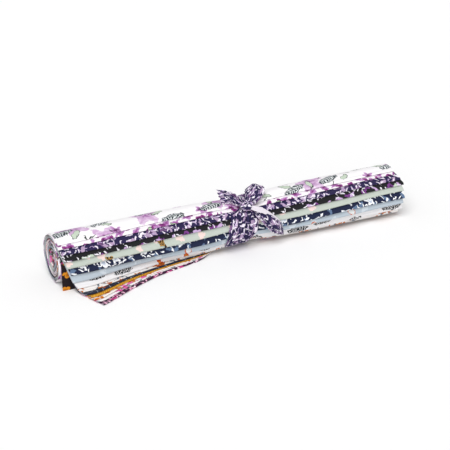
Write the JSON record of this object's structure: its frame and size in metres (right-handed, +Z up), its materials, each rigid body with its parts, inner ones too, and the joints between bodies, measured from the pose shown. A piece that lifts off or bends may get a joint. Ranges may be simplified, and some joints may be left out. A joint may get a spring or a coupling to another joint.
{
  "type": "rolled fat quarter bundle",
  "caption": "Stack of folded printed cotton fat quarters rolled lengthwise, their folds stepping down the front and fanned at one end, tied with a pinked cloth strip",
  "frame": {"origin": "middle of the bundle's box in X and Y, on the surface it rests on", "axes": "+X along the roll, +Z up, the folded ends step down the side towards -Y and fan out at the -X end"},
  "size_m": [0.457, 0.1112, 0.0721],
  "materials": {
    "cotton_stack": "matt woven cotton, cut and folded edges",
    "print_large_lilac": "printed quilting cotton, white with lilac flowers",
    "print_berry": "printed quilting cotton, white with berry sprigs",
    "print_navy_violet": "printed quilting cotton, navy and violet floral",
    "print_black_floral": "printed quilting cotton, black with purple flowers",
    "print_sage": "printed quilting cotton, sage with small pink motifs",
    "print_navy_white": "printed quilting cotton, navy with white floral",
    "print_grey_blue": "printed quilting cotton, grey blue",
    "print_feather": "printed quilting cotton, white with dark feathered ovals",
    "print_rust": "printed quilting cotton, white with rust flowers",
    "print_dark_navy": "printed quilting cotton, dark navy with grey arcs",
    "print_mustard": "printed quilting cotton, mustard stripe",
    "print_orange_white": "printed quilting cotton, white with orange spots",
    "print_pink_white": "printed quilting cotton, white with pink flowers",
    "print_plum": "printed quilting cotton, plum and magenta floral",
    "print_dark_gold": "printed quilting cotton, near black with gold",
    "tie_cloth": "pinked strip of printed cotton, navy and violet floral"
  },
  "bodies": {
    "root": {"roll": "cotton_stack", "quarter_01": "print_large_lilac", "quarter_02": "print_berry", "quarter_03": "print_navy_violet", "quarter_04": "print_black_floral", "quarter_05": "print_sage", "quarter_06": "print_navy_white", "quarter_07": "print_grey_blue", "quarter_08": "print_feather", "quarter_09": "print_rust", "quarter_10": "print_dark_navy", "quarter_11": "print_mustard", "quarter_12": "print_orange_white", "quarter_13": "print_pink_white", "quarter_14": "print_plum", "quarter_15": "print_dark_gold", "tie": "tie_cloth"}
  },
  "joints": []
}
